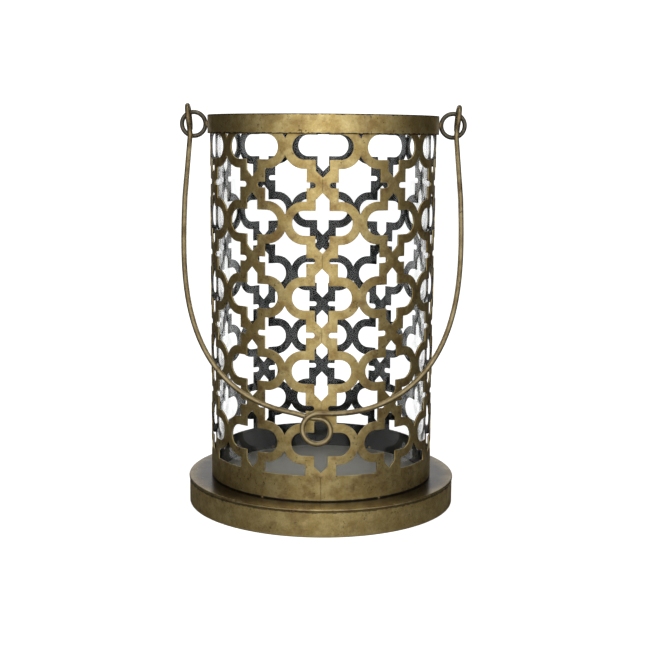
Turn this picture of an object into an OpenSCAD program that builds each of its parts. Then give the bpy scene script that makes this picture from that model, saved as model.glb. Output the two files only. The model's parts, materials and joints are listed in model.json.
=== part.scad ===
// Hanging candle lantern: a pierced sheet sleeve with a rim band stands on a round hollow base,
// a loose glass cylinder stands inside it, and one wire bail swings in two rings on the rim.
// Origin: centre of the base's underside. +Z is up, and the bail hangs to the front, -Y.

/* [Overall] */
// Height from the base's underside to the top of the rim band
overall_h = 247.5; // [200:0.5:320]
// Diameter of the base
base_d = 172; // [140:1:220]
// Width of the ledge that the base leaves around the sleeve
ledge_w = 14.75; // [8:0.25:20]

/* [Base] */
// Height of the base, top plate included
base_h = 17.5; // [12:0.5:30]
// Thickness of the top plate, whose rim is fully rounded
top_t = 1.8; // [1:0.1:3]
// Wall of the side hoop
hoop_t = 1.2; // [0.8:0.1:2]
// How far the top plate's rim stands out past the hoop
rim_lip = 0.4; // [0.2:0.1:1]
// Thickness of the closing plate underneath
bottom_t = 1.2; // [0.8:0.1:2]

/* [Sleeve] */
// Thickness of the pierced sheet
sheet_t = 1.0; // [0.8:0.1:1.5]
// Height of the plain strip left along the sleeve's foot
foot_strip_h = 16; // [10:0.5:22]
// Height of the plain strip left along the sleeve's top edge
top_strip_h = 7.5; // [5:0.5:13]
// How far the sleeve's top edge sits below the rim band's
edge_drop = 0.5; // [0.2:0.1:1]

/* [Pattern] */
// Number of medallions around the sleeve
columns = 10; // [9:1:12]
// Number of rows of medallions
rows = 5; // [4:1:6]
// Radius of a medallion's round ends, inside
lobe_r = 7.25; // [6:0.05:8]
// Width of the metal strap that draws the pattern
strap_w = 5.3; // [4:0.1:6]
// Width inside a medallion's upright neck
neck_w = 8.1; // [6:0.1:9]
// Metal left between a neck's point and the middle of a crossing
neck_tip_gap = 4.4; // [3:0.1:6]
// How far the round ends of neighbouring medallions run into each other
lobe_overlap = 0.9; // [0.5:0.1:1.5]
// Width of the round-ended notches beside each crossing
notch_w = 3.3; // [2:0.1:4]
// Half of the metal left between the two notches of a crossing
notch_tip_gap = 4.15; // [3:0.05:6]
// Height of the lowest medallions' centres above the foot strip
first_row_rise = 19.4; // [18:0.1:21]
// Depth of the highest medallions' centres below the rim band
last_row_drop = 7.6; // [5:0.1:12]

/* [Rim band and rings] */
// Height of the rim band
band_h = 11.5; // [10:0.5:18]
// Thickness of the rim band
band_t = 1.4; // [1:0.1:2]
// Inner diameter of a bail ring
ring_id = 12; // [10:0.2:15]
// Wire diameter of a bail ring
ring_wire = 2.8; // [2:0.1:3.4]

/* [Bail] */
// Wire diameter of the bail
bail_wire = 3.2; // [2.4:0.1:3.9]
// How far each leg stands out past the middle of its eye
leg_splay = 0.6; // [0:0.1:4]
// Height above the base at which the folded bail leans on the sleeve
bail_rest_h = 51.7; // [45:0.1:80]
// Distance from the swing axis down to where the legs begin to curve in
leg_drop = 55; // [40:1:90]
// Inner diameter of the eyes that thread the rings
eye_id = 11.4; // [10:0.2:14]
// Lean of each eye, its upper side outwards
eye_lean = 6; // [0:1:8]
// Inner diameter of the finger loop, halfway round its turn
loop_id = 13.4; // [10:0.2:20]

/* [Glass] */
// Gap between the glass cylinder and the sleeve around it
glass_gap = 2.25; // [1.6:0.05:20]
// Wall of the glass
glass_t = 2.5; // [2:0.1:4]
// How far the glass's rim sits below the top of the rim band
glass_drop = 5.5; // [4:0.5:40]

/* [Hidden] */
$fn = 96;
fine = 720;           // facets of a large round that a small bead is cut to

// Clearances
weld_gap = 0.1;       // between pieces that are welded side by side
seat_gap = 0.3;       // between the glass and the plate it stands on
bail_gap = 0.3;       // between the hanging bail and the sleeve
thread_gap = 0.5;     // between an eye's wire and the ring it threads
press_gap = 0.1;      // around the closing plate

// Colours
gold = [0.62, 0.52, 0.31];
dark_gold = [0.36, 0.31, 0.21];
weld_brown = [0.30, 0.22, 0.13];
clear_glass = [0.85, 0.92, 0.95, 0.35];

// Base and sleeve
base_r = base_d / 2;
hoop_r = base_r - rim_lip;
hoop_h = base_h - top_t;
sleeve_r = base_r - ledge_w;
sleeve_ri = sleeve_r - sheet_t;
sleeve_top = overall_h - edge_drop;
foot_z = base_h + foot_strip_h;
band_z = overall_h - band_h;
band_ri = sleeve_r + weld_gap;
band_r = band_ri + band_t;

// The pattern's cell, unrolled: one medallion, from crossing to crossing
pitch_u = 2 * PI * sleeve_r / columns;
first_row_z = foot_z + first_row_rise;
last_row_z = band_z - last_row_drop;
pitch_v = (last_row_z - first_row_z) / (rows - 1);
strap_r = lobe_r + strap_w;                         // outer radius of a medallion's round ends
lobe_u = pitch_u / 2 + lobe_overlap - strap_r;      // centre of a round end, from the medallion's
neck_out = neck_w / 2 + strap_w;                    // outer edge of the neck's straps
window_z = [foot_z, sleeve_top - top_strip_h];      // the pattern is cut off at these heights

// Weld beads
seam_w = 0.7;
seam_proud = 0.15;
crossing_seam = 2 * neck_tip_gap - 1.6;
tack_r = 1.3;
tack_count = 6;
ring_bead_r = 1.5;

// Rings, and the bail's eyes that thread them outboard of their centres. The eye encloses the ring's
// upper crossing, and clears its lower one.
ring_r = (ring_id + ring_wire) / 2;                 // to the middle of the wire
ring_x = band_r + weld_gap + ring_id / 2 + ring_wire;
ring_z = band_z + band_h / 2;
eye_r = (eye_id + bail_wire) / 2;                   // to the middle of the wire
eye_out = 3;                                        // from the ring's centre to the eye, outwards
eye_x = ring_x + eye_out;
eye_hang = 1.5;                                     // the eye's centre hangs this far below the axis
crossing_h = sqrt(ring_r * ring_r - eye_out * eye_out);
axis_z = ring_z + eye_r + (ring_wire + bail_wire) / 2 + thread_gap - crossing_h + eye_hang;

// The finger loop: one turn of wire that grows tighter and passes behind itself
loop_tight = 1.2;                                   // the turn starts this much wider, ends this much tighter
loop_r = (loop_id + bail_wire) / 2;
loop_x = -2.1;
loop_depth = bail_wire / 2 + 0.2;                   // the strands pass this far before and behind the middle
rest_y = sleeve_r + bail_wire / 2 + bail_gap;       // where the bail's rear strand leans on the sleeve,
rest_z = axis_z - base_h - bail_rest_h;             // out from and down from the swing axis
rear_s = sqrt(rest_y * rest_y + rest_z * rest_z - loop_depth * loop_depth);
bail_drop = rear_s - 2 * loop_tight;                // from the axis to the bottom of the arch
loop_s = bail_drop + loop_r + loop_tight;
lean = atan(rest_y / rest_z) + atan(loop_depth / rear_s);

// Glass
glass_r = sleeve_ri - glass_gap;
glass_z = base_h + seat_gap;
glass_h = overall_h - glass_drop - glass_z;

function smooth(t) = let (c = min(max(t, 0), 1)) c * c * (3 - 2 * c);

// ---- Base ----

// Top plate: a disc with a fully rounded rim, lying on the hoop
module base_top_plate() {
    color(dark_gold)
    translate([0, 0, hoop_h])
    rotate_extrude() {
        square([base_r - top_t / 2, top_t]);
        intersection() {
            translate([base_r - top_t / 2, top_t / 2]) circle(top_t / 2);
            square([base_r, top_t]);
        }
    }
}

// Side hoop: a rolled strip with a rounded lower edge
module base_hoop() {
    color(gold)
    rotate_extrude() {
        translate([hoop_r - hoop_t, hoop_t / 2]) square([hoop_t, hoop_h - hoop_t / 2]);
        translate([hoop_r - hoop_t / 2, hoop_t / 2]) circle(hoop_t / 2);
    }
}

// Closing plate: set inside the hoop, level with its lower edge
module base_bottom_plate() {
    color(dark_gold)
    cylinder(h = bottom_t, r = hoop_r - hoop_t - press_gap);
}

// ---- Pierced sleeve ----

// A medallion's opening: a slot with round ends, crossed by an upright neck with pointed ends
module medallion_hole() {
    neck_tip = pitch_v / 2 - neck_tip_gap;
    neck_side = neck_tip - neck_w / 2;
    for (side = [-1, 1]) translate([side * lobe_u, 0]) circle(lobe_r);
    square([2 * lobe_u, 2 * lobe_r], center = true);
    polygon([[0, neck_tip], [neck_w / 2, neck_side], [neck_w / 2, -neck_side],
             [0, -neck_tip], [-neck_w / 2, -neck_side], [-neck_w / 2, neck_side]]);
}

// The opening between four medallions, with a round-ended notch into each crossing beside it
module star_hole() {
    half_w = pitch_u / 2 - neck_out;
    lobe_at = pitch_u / 2 - lobe_u;
    notch_at = pitch_u / 2 - notch_tip_gap - notch_w / 2;
    difference() {
        square([2 * half_w, pitch_v], center = true);
        for (u = [-1, 1], v = [-1, 1]) {
            translate([u * lobe_at, v * pitch_v / 2]) circle(strap_r);
            translate([u * (lobe_at + pitch_u / 2), v * pitch_v / 2])
                square([pitch_u, 2 * strap_r], center = true);
        }
    }
    square([2 * notch_at, notch_w], center = true);
    for (u = [-1, 1]) translate([u * notch_at, 0]) circle(notch_w / 2);
}

// Cuts an opening through the sleeve, centred at this angle and height, inside the window
module pierce(angle, z) {
    cut_depth = 12;
    rotate([0, 0, angle])
    translate([0, cut_depth / 2 - sleeve_r, z])
    rotate([90, 0, 0])
    linear_extrude(cut_depth)
    intersection() {
        children();
        translate([-pitch_u, window_z[0] - z]) square([2 * pitch_u, window_z[1] - window_z[0]]);
    }
}

module pierced_sleeve() {
    step = 360 / columns;
    color(gold)
    difference() {
        translate([0, 0, base_h]) cylinder(h = sleeve_top - base_h, r = sleeve_r);
        translate([0, 0, base_h - 1]) cylinder(h = sleeve_top - base_h + 2, r = sleeve_ri);
        for (column = [0 : columns - 1]) {
            for (row = [0 : rows - 1])
                pierce(column * step, first_row_z + row * pitch_v) medallion_hole();
            for (row = [0 : rows])
                pierce((column + 0.5) * step, first_row_z + (row - 0.5) * pitch_v) star_hole();
        }
    }
}

// The butt weld that closes the rolled sheet, where there is metal on it: the foot and each crossing
module seam_bead(z, height) {
    seam_angle = seam_w / sleeve_r * 180 / PI;
    translate([0, 0, z])
    rotate([0, 0, -90 - seam_angle / 2])
    rotate_extrude(angle = seam_angle, $fn = fine)
    translate([sleeve_r, 0]) square([seam_proud, height]);
}

module sleeve_seam_weld() {
    color(weld_brown) {
        seam_bead(base_h + 1, foot_strip_h - 2);
        for (row = [0 : rows - 2])
            seam_bead(first_row_z + (row + 0.5) * pitch_v - crossing_seam / 2, crossing_seam);
    }
}

// Tack welds inside the sleeve's foot, in the corner with the base
module sleeve_tack_welds() {
    color(weld_brown)
    for (i = [0 : tack_count - 1])
        rotate([0, 0, (i + 0.5) * 360 / tack_count])
        intersection() {
            translate([0, -sleeve_ri, base_h]) sphere(tack_r);
            translate([0, 0, base_h]) cylinder(h = 2 * tack_r, r = sleeve_ri, $fn = fine);
        }
}

// ---- Rim band and rings ----

module rim_band() {
    color(gold)
    translate([0, 0, band_z])
    difference() {
        cylinder(h = band_h, r = band_r);
        translate([0, 0, -1]) cylinder(h = band_h + 2, r = band_ri);
    }
}

module ring_at(side) {
    translate([side * ring_x, 0, ring_z])
    rotate([90, 0, 0])
    rotate_extrude() translate([ring_r, 0]) circle(ring_wire / 2);
}

module ring_left() {
    color(dark_gold) ring_at(-1);
}

module ring_right() {
    color(dark_gold) ring_at(1);
}

// Two beads hold each ring to the band, one on either side of its wire
module ring_welds() {
    color(weld_brown)
    for (side = [-1, 1], edge = [-1, 1])
        difference() {
            translate([side * (band_r + 0.9), edge * (ring_wire / 2 + 0.5), ring_z])
                sphere(ring_bead_r);
            cylinder(h = overall_h, r = band_r, $fn = fine);
            ring_at(side);
        }
}

// ---- Glass ----

module glass_cylinder() {
    color(clear_glass)
    translate([0, 0, glass_z])
    difference() {
        cylinder(h = glass_h, r = glass_r);
        translate([0, 0, -1]) cylinder(h = glass_h + 2, r = glass_r - glass_t);
    }
}

// ---- Bail ----
// Its points are [x, s, n]: across, down from the swing axis along the legs, and out to the front.

arch_w = eye_x + leg_splay;
arch_h = bail_drop - leg_drop;
arch_x_power = 2.3;
arch_s_power = 3;

// The arch is a superellipse, from the legs at t = 0 to its lowest point at t = 90
function arch_x(t) = arch_w * pow(max(cos(t), 0), 2 / arch_x_power);
function arch_s(t) = leg_drop + arch_h * pow(sin(t), 2 / arch_s_power);
function arch_s_at(x) = leg_drop + arch_h * pow(1 - pow(abs(x) / arch_w, arch_x_power), 1 / arch_s_power);

// A point of the eye's round, this far around it from the leg, at this radius
function eye_point(angle, radius) =
    [eye_x - radius * cos(angle) * sin(eye_lean), eye_hang + radius * cos(angle) * cos(eye_lean),
     radius * sin(angle)];

// The leg runs into the eye on a short curve that ends at eye_in around the round
eye_in = 35;
eye_turn = 290;
eye_steps = 24;
leg_reach = eye_r / cos(eye_in);
leg_in = eye_point(0, leg_reach + 3);
leg_bend = eye_point(0, leg_reach);
eye_start = eye_point(eye_in, eye_r);
eye_path = concat(
    [for (i = [eye_steps : -1 : 0]) eye_point(eye_in + eye_turn * i / eye_steps, eye_r)],
    [for (t = [0.33, 0.67, 1]) (1 - t) * (1 - t) * eye_start + 2 * t * (1 - t) * leg_bend + t * t * leg_in]);

// The strands turn to the front and to the back as they come to the loop
front_reach = 25;
front_x = [for (i = [8 : -1 : 0]) front_reach * i / 8];
rear_hold = 12;
rear_x = [for (i = [1 : 12]) loop_x - 37 * i / 12];
arch_end = acos(pow(front_reach / arch_w, arch_x_power / 2));
rear_end = acos(pow(-rear_x[11] / arch_w, arch_x_power / 2));
arch_steps = 26;
loop_steps = 26;
dip_reach = 16;

right_leg = [for (i = [1 : 8]) let (k = i / 8) (1 - k) * leg_in + k * [arch_w, leg_drop, 0]];
right_arch = [for (i = [1 : arch_steps - 1]) let (t = arch_end * i / arch_steps) [arch_x(t), arch_s(t), 0]];
front_strand = [for (x = front_x) [x, arch_s_at(x), loop_depth * smooth(1 - x / front_reach)]];
finger_loop = [for (i = [0 : loop_steps])
    let (a = 360 * i / loop_steps, r = loop_r + loop_tight * (1 - a / 180))
    [loop_x - r * sin(a), loop_s - r * cos(a), loop_depth * (1 - 2 * smooth((a - 90) / 180))]];
rear_strand = [for (x = rear_x)
    [x, arch_s_at(x) + (rear_s - bail_drop) * (1 - smooth((loop_x - x) / dip_reach)),
     -loop_depth * (1 - smooth((-x - rear_hold) / front_reach))]];
left_arch = [for (i = [arch_steps - 1 : -1 : 0]) let (t = rear_end * i / arch_steps) [-arch_x(t), arch_s(t), 0]];
left_leg = [for (i = [7 : -1 : 0]) let (k = i / 8) (1 - k) * mirror_x(leg_in) + k * [-arch_w, leg_drop, 0]];

function mirror_x(p) = [-p[0], p[1], p[2]];

bail_path = concat(eye_path, right_leg, right_arch, front_strand, finger_loop, rear_strand, left_arch,
                   left_leg, [for (i = [len(eye_path) - 2 : -1 : 0]) mirror_x(eye_path[i])]);

// Sweeps a round wire along a path. Each ring's axes are carried on from the ring before it.
function unit(v) = v / norm(v);
function tangent(path, i) = unit(path[min(i + 1, len(path) - 1)] - path[max(i - 1, 0)]);
function carried(axis, along) = unit(axis - (axis * along) * along);
function side_axes(path, i = 0, before = [1, 0, 0], done = []) =
    i == len(path) ? done
    : let (axis = carried(before, tangent(path, i))) side_axes(path, i + 1, axis, concat(done, [axis]));

module wire(path, d, sides = 12) {
    axes = side_axes(path);
    last = len(path) - 1;
    points = [for (i = [0 : last]) let (a = axes[i], b = cross(tangent(path, i), a))
        for (k = [0 : sides - 1]) path[i] + d / 2 * (cos(360 * k / sides) * a + sin(360 * k / sides) * b)];
    walls = [for (i = [0 : last - 1], k = [0 : sides - 1]) let (m = (k + 1) % sides)
        each [[i * sides + k, (i + 1) * sides + k, (i + 1) * sides + m],
              [i * sides + k, (i + 1) * sides + m, i * sides + m]]];
    start = [for (k = [0 : sides - 1]) k];
    end = [for (k = [sides - 1 : -1 : 0]) last * sides + k];
    polyhedron(points, concat(walls, [start], [end]));
}

module bail() {
    color(gold)
    translate([0, 0, axis_z])
    rotate([-lean, 0, 0])
    wire([for (p = bail_path) [p[0], -p[2], -p[1]]], bail_wire);
}

base_top_plate();
base_hoop();
base_bottom_plate();
pierced_sleeve();
sleeve_seam_weld();
sleeve_tack_welds();
rim_band();
ring_left();
ring_right();
ring_welds();
glass_cylinder();
bail();
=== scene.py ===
# %% [markdown]
# # A hanging lantern
#
# This lesson builds a pierced metal candle lantern: a rolled sheet with a lattice of medallions, on a
# wide disc base, with a loose glass cylinder inside and a wire bail that hangs from two rings.
#
# The exact solids come from the CAD model. They are loaded first, as a fixed frame in metres, with the
# origin at the centre of the base's underside and +Z up. The bail hangs to the front, which is -Y.
# Loading a frame first means that no piece has to be fitted by eye: each one asks the frame where it goes.

# %% Load the frame
import json
import math

import bmesh
import bpy
from mathutils import Matrix, Vector, noise


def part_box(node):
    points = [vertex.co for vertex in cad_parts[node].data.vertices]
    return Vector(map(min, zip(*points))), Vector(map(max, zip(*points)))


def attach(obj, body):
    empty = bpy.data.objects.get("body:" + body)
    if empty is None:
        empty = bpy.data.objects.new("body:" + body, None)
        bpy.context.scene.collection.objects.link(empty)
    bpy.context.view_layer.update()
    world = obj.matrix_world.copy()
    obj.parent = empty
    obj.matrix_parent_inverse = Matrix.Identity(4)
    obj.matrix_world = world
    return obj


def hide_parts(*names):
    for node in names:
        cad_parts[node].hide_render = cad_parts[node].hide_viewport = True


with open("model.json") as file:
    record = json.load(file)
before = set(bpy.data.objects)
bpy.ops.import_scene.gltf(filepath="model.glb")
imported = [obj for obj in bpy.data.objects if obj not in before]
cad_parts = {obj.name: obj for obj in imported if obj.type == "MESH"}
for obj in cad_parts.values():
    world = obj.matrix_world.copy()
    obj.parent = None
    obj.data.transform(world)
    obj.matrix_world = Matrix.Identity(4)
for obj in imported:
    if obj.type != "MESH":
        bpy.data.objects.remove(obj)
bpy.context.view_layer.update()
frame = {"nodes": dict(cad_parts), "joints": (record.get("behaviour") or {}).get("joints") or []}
print("CAD nodes:", sorted(frame["nodes"]))

# %% [markdown]
# ## Sizes that the pieces share
#
# Each turned piece has an outer radius and two heights, and its box gives all three. The few sizes that a
# box can't give, such as the sheet's thickness or the pattern's radii, are named here once, in millimetres.

# %% Sizes
MM = 0.001


def turned_box(node):
    """Outer radius, lowest and highest point of a CAD node that is round about the Z axis."""
    low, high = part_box(node)
    return high.x, low.z, high.z


base_r, plate_z, base_h = turned_box("base_top_plate")
hoop_r, _, hoop_h = turned_box("base_hoop")
bottom_r, _, bottom_t = turned_box("base_bottom_plate")
sleeve_r, _, sleeve_top = turned_box("pierced_sleeve")
band_r, band_z, rim_z = turned_box("rim_band")
glass_r, glass_z, glass_top = turned_box("glass_cylinder")

sheet_t = 1.0 * MM
hoop_t = 1.2 * MM
band_t = 1.4 * MM
glass_t = 2.5 * MM
ring_wire = 2.8 * MM
bail_wire = 3.2 * MM
print(f"base {2 * base_r:.4f} m across, sleeve {2 * sleeve_r:.4f} m, rim at {rim_z:.4f} m")

# %% [markdown]
# ## Helpers for meshes
#
# A bmesh is Blender's editable mesh. Each piece starts in one, is shaped by operators, and then becomes an
# object at the origin, with its place in its mesh. Flat faces meet rounded edges on sheet metal, so a
# Weighted Normal modifier is added: it lets the large faces keep their own direction, and the shading
# turns only across the narrow rounded edges.

# %% Turn a bmesh into an object
pieces = {}
AREA_WEIGHT = 100            # the most that a face's area can count for in the shading


def finish_piece(bm, name, body, nodes):
    """Makes the bmesh an object that rides on a body and stands for the CAD nodes named."""
    bmesh.ops.recalc_face_normals(bm, faces=bm.faces)
    mesh = bpy.data.meshes.new(name)
    bm.to_mesh(mesh)
    bm.free()
    mesh.polygons.foreach_set("use_smooth", [True] * len(mesh.polygons))
    piece = bpy.data.objects.new(name, mesh)
    bpy.context.scene.collection.objects.link(piece)
    weighted = piece.modifiers.new("even_shading", "WEIGHTED_NORMAL")
    weighted.weight = AREA_WEIGHT
    weighted.keep_sharp = False
    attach(piece, body)
    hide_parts(*nodes)
    pieces[name] = piece
    print(f"{name}: {len(mesh.polygons)} faces")
    return piece


# %% [markdown]
# The lantern's round parts are cut sheet and plate, bent or turned. Spinning a cross-section about the Z
# axis makes them exactly round. A real cut edge is never sharp, so the edges that turn by more than 50
# degrees are then bevelled a little: that is what catches the light along every rim.

# %% Spin a cross-section, and soften edges
TURN_STEPS = 192             # faces round a full turn
SHARP = math.radians(50)     # an edge that turns by more than this was cut
TOUCHING = 0.001 * MM        # vertices closer than this are one and the same
NEARBY = 0.01 * MM           # how closely an edge has to keep to a height or a radius


def everything(bm):
    """All of a bmesh, in the form that its operators take."""
    return bm.verts[:] + bm.edges[:] + bm.faces[:]


def only_verts(geom):
    """The vertices in what an operator gives back, which also has edges and faces in it."""
    return [v for v in geom if isinstance(v, bmesh.types.BMVert)]


def turned(outline):
    """A closed shape spun about the Z axis from (radius, height) corners. An outline that starts and ends
    at radius 0 is left open there, so the shape closes on the axis."""
    bm = bmesh.new()
    corners = [bm.verts.new((r, 0, z)) for r, z in outline]
    for a, b in zip(corners, corners[1:]):
        bm.edges.new((a, b))
    if outline[0][0] > 0:
        bm.edges.new((corners[-1], corners[0]))
    bmesh.ops.spin(bm, geom=everything(bm), cent=(0, 0, 0), axis=(0, 0, 1), angle=2 * math.pi,
                   steps=TURN_STEPS, use_merge=True)
    bmesh.ops.remove_doubles(bm, verts=bm.verts, dist=TOUCHING)
    bmesh.ops.recalc_face_normals(bm, faces=bm.faces)
    return bm


def soften(bm, width, segments=3, keep=lambda edge: True):
    """Rounds the sharp edges that keep() accepts, and says how many there were."""
    sharp = [e for e in bm.edges if len(e.link_faces) == 2 and e.calc_face_angle() > SHARP and keep(e)]
    bmesh.ops.bevel(bm, geom=sharp, offset=width, offset_type="OFFSET", segments=segments,
                    profile=0.5, affect="EDGES", material=-1)
    return len(sharp)


def at_height(z):
    return lambda edge: all(abs(v.co.z - z) < NEARBY for v in edge.verts)


def at_radius(r):
    return lambda edge: all(abs(v.co.xy.length - r) < NEARBY for v in edge.verts)


# %% [markdown]
# ## Camera
#
# The camera stands in front of the lantern, nearly as high as its rim, and looks slightly down. It comes
# first, so that every piece can be looked at as soon as it is made. A long lens keeps the upright sides
# nearly parallel. The order of the turns matters: first the heading, then the tilt, then the small roll.

# %% Camera
camera_data = bpy.data.cameras.new("camera")
camera_data.sensor_width = 36      # in millimetres, like the lens
camera_data.lens = 67.79
camera_data.clip_start = 10 * MM
camera = bpy.data.objects.new("camera", camera_data)
bpy.context.scene.collection.objects.link(camera)
camera_place = Vector((1.364, -781.319, 233.921)) * MM
heading, tilt, roll = (math.radians(a) for a in (-0.044, 90 - 8.712, 0.431))
camera.matrix_world = (Matrix.Translation(camera_place) @ Matrix.Rotation(heading, 4, "Z")
                       @ Matrix.Rotation(tilt, 4, "X") @ Matrix.Rotation(roll, 4, "Z"))
bpy.context.scene.camera = camera
print("camera at", tuple(round(c, 3) for c in camera_place))

# %% [markdown]
# ## Base
#
# The base is a shallow hollow drum: a top plate with a fully rounded rim, a side hoop and a plate that
# closes it from below. Each is a spun rectangle. A bevel of nearly half the plate's thickness turns the
# top plate's square edge into the full round that the real rim has.

# %% Base pieces
NEARLY_HALF = 0.49           # of a thickness: a full half would leave no face between two bevels
EDGE = 0.15 * MM             # how far a cut edge is rounded

top = turned([(0, plate_z), (base_r, plate_z), (base_r, base_h), (0, base_h)])
soften(top, NEARLY_HALF * (base_h - plate_z), segments=6, keep=at_radius(base_r))
top_plate = finish_piece(top, "base_top", "lantern", ["base_top_plate"])

hoop = turned([(hoop_r - hoop_t, 0), (hoop_r, 0), (hoop_r, hoop_h), (hoop_r - hoop_t, hoop_h)])
soften(hoop, NEARLY_HALF * hoop_t, segments=5, keep=at_height(0))
soften(hoop, EDGE, segments=2, keep=at_height(hoop_h))
side_hoop = finish_piece(hoop, "base_side", "lantern", ["base_hoop"])

under = turned([(0, 0), (bottom_r, 0), (bottom_r, bottom_t), (0, bottom_t)])
soften(under, EDGE)
bottom_plate = finish_piece(under, "base_underside", "lantern", ["base_bottom_plate"])

# %% [markdown]
# ## Rim band and glass
#
# The rim band is a plain strip, rolled round the top of the sleeve. The glass is a plain cylinder whose
# two rims were melted round, so its edges get a much wider bevel than cut metal does.

# %% Rim band and glass
MELTED = 0.4                 # of the glass wall, rounded at each edge

band = turned([(band_r - band_t, band_z), (band_r, band_z), (band_r, rim_z), (band_r - band_t, rim_z)])
soften(band, 2 * EDGE)
rim = finish_piece(band, "rim_strip", "lantern", ["rim_band"])

tube = turned([(glass_r - glass_t, glass_z), (glass_r, glass_z), (glass_r, glass_top),
               (glass_r - glass_t, glass_top)])
soften(tube, MELTED * glass_t, segments=5)
glass = finish_piece(tube, "glass_tube", "glass", ["glass_cylinder"])

# %% [markdown]
# ## Pierced sleeve
#
# The sleeve is one flat sheet, pierced and then rolled into a tube. The model is made in the same order:
# flat first, where the pattern is easy to draw, then rolled. The pattern looks complicated, but it is
# mirrored left to right and up to down, so only a quarter of one medallion has to be drawn. Here x runs
# around the sleeve and y runs up it, from the medallion's centre.
#
# The outline of that quarter is a chain of straight edges and three arcs. A straight edge joins two
# vertices, and spinning one vertex about a centre draws an arc.

# %% Sizes of the pattern
columns, rows = 10, 5
lobe_r = 7.25 * MM           # radius of a medallion's round ends, inside
strap_w = 5.3 * MM           # width of the metal strap
neck_w = 8.1 * MM            # width inside a medallion's upright neck
neck_tip_gap = 4.4 * MM      # from a neck's point to the middle of a crossing
lobe_overlap = 0.9 * MM      # how far neighbouring round ends run into each other
notch_w = 3.3 * MM           # width of the notches beside a crossing
notch_tip_gap = 4.15 * MM    # from a crossing's middle to the end of its notch
foot_strip_h = 16 * MM       # plain strip below the lattice
top_strip_h = 7.5 * MM       # plain strip above it, hidden behind the rim band
first_row_rise = 19.4 * MM   # from the foot strip up to the middle of the first row
last_row_drop = 7.6 * MM     # from the rim band down to the middle of the last row

foot_line = base_h + foot_strip_h
top_line = sleeve_top - top_strip_h
first_row = foot_line + first_row_rise
last_row = band_z - last_row_drop

cell_w = 2 * math.pi * sleeve_r / columns
cell_h = (last_row - first_row) / (rows - 1)
half_w, half_h = cell_w / 2, cell_h / 2
strap_r = lobe_r + strap_w
lobe_x = half_w + lobe_overlap - strap_r
print(f"one medallion is {cell_w * 1000:.2f} by {cell_h * 1000:.2f} mm")


# %% Draw a quarter of a medallion
LOBE_STEPS, NOTCH_STEPS = 12, 5


def arc(bm, start, centre, degrees, steps):
    """Turns a vertex about a centre in the sheet's plane, and gives the arc's last vertex."""
    turn = bmesh.ops.spin(bm, geom=[start], cent=(*centre, 0), axis=(0, 0, 1),
                          angle=math.radians(degrees), steps=steps, use_merge=False)
    return only_verts(turn["geom_last"])[0]


def line(bm, start, *points):
    """Joins straight edges on to a vertex, and gives the last one's end."""
    for x, y in points:
        end = bm.verts.new((x, y, 0))
        bm.edges.new((start, end))
        start = end
    return start


def quarter_medallion():
    """The strap's outline in one quarter: along its inside, then back along its outside."""
    bm = bmesh.new()
    first = bm.verts.new((lobe_x + lobe_r, 0, 0))
    neck_tip = half_h - neck_tip_gap
    at = arc(bm, first, (lobe_x, 0), 90, LOBE_STEPS)
    at = line(bm, at, (neck_w / 2, lobe_r), (neck_w / 2, neck_tip - neck_w / 2), (0, neck_tip),
              (0, half_h), (notch_tip_gap, half_h))
    at = arc(bm, at, (notch_tip_gap + notch_w / 2, half_h), 90, NOTCH_STEPS)
    neck_edge = neck_w / 2 + strap_w
    at = line(bm, at, (neck_edge, half_h - notch_w / 2), (neck_edge, strap_r), (lobe_x, strap_r))
    meet = math.degrees(math.acos((half_w - lobe_x) / strap_r))
    at = arc(bm, at, (lobe_x, 0), meet - 90, LOBE_STEPS)
    at = line(bm, at, (half_w, 0))
    bm.edges.new((at, first))
    bmesh.ops.contextual_create(bm, geom=bm.edges[:])
    return bm


sheet = quarter_medallion()
print(f"a quarter has {len(sheet.verts)} corners and {len(sheet.faces)} face")

# %% [markdown]
# Mirroring the quarter twice gives the strip of metal from one medallion's centre to the next. Copies of
# it, side by side and one above the other, give the lattice. Merging the doubles after each step joins the
# copies where they touch.


# %% Mirror and repeat it
SPARE = 3                    # columns made, of which the middle one is kept
MERGE = 0.002 * MM           # copies that meet within this are joined


def merge(bm):
    bmesh.ops.remove_doubles(bm, verts=bm.verts, dist=MERGE)


def mirrored(bm, axis, at):
    """Adds the mirror image about a plane across this axis, at this place along it."""
    away = Vector((at, 0, 0)) if axis == 0 else Vector((0, at, 0))
    flip = Matrix.Identity(3)
    flip[axis][axis] = -1
    copy = only_verts(bmesh.ops.duplicate(bm, geom=everything(bm))["geom"])
    bmesh.ops.translate(bm, verts=copy, vec=-away)
    bmesh.ops.transform(bm, matrix=flip.to_4x4(), verts=copy)
    bmesh.ops.translate(bm, verts=copy, vec=away)
    merge(bm)


def repeated(bm, count, step):
    """Adds copies, each moved on by one more step."""
    first = everything(bm)
    for i in range(1, count):
        copy = only_verts(bmesh.ops.duplicate(bm, geom=first)["geom"])
        bmesh.ops.translate(bm, verts=copy, vec=Vector(step) * i)
    merge(bm)


mirrored(sheet, 1, 0)
mirrored(sheet, 0, half_w)
repeated(sheet, SPARE, (cell_w, 0, 0))
bmesh.ops.translate(sheet, verts=sheet.verts, vec=(0, first_row, 0))
repeated(sheet, rows, (0, cell_h, 0))
bmesh.ops.recalc_face_normals(sheet, faces=sheet.faces)
print(f"{SPARE} columns of the lattice: {len(sheet.faces)} faces")

# %% [markdown]
# The lattice ends in a plain strip at the foot and at the top. A bisecting plane cuts it off at each line.
# The cut ends of the straps lie in a row: edges across the gaps join them up, and extruding the whole row
# makes the strip.


# %% Cut the lattice off and add the plain strips
CUT_REACH = 0.0001 * MM      # a vertex this close to a cut counts as on it


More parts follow.
